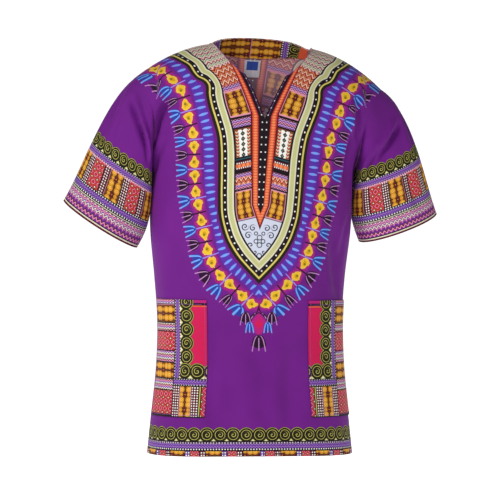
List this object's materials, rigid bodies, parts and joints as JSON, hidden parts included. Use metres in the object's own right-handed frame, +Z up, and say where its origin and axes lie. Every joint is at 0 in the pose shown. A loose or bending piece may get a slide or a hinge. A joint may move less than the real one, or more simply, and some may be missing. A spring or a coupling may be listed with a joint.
{
  "type": "dashiki shirt",
  "caption": "Short-sleeved printed cotton pullover tunic, worn and hollow, with a slit neck, back neck facing and patch pockets.",
  "frame": {"origin": "middle of the neck opening at the height of the shoulder seams, where the wearer's shoulders carry the shirt", "axes": "+Z up, the front faces -Y, the wearer's left sleeve points to +X"},
  "size_m": [0.6797, 0.2346, 0.7538],
  "materials": {
    "printed_cotton_front": "printed cotton with a soft sheen, purple ground",
    "printed_cotton_back": "printed cotton with a soft sheen, purple ground",
    "printed_cotton_sleeves": "printed cotton with a soft sheen, purple ground",
    "printed_cotton_facing": "printed cotton, border panels in gold and maroon",
    "printed_cotton_pockets": "printed cotton, border panels in red, gold and black",
    "woven_label": "smooth woven tape, plain"
  },
  "bodies": {
    "root": {"front": "printed_cotton_front", "back": "printed_cotton_back", "sleeve_left": "printed_cotton_sleeves", "sleeve_right": "printed_cotton_sleeves", "back_neck_facing": "printed_cotton_facing", "pocket_left": "printed_cotton_pockets", "pocket_right": "printed_cotton_pockets", "neck_label": "woven_label"}
  },
  "joints": []
}
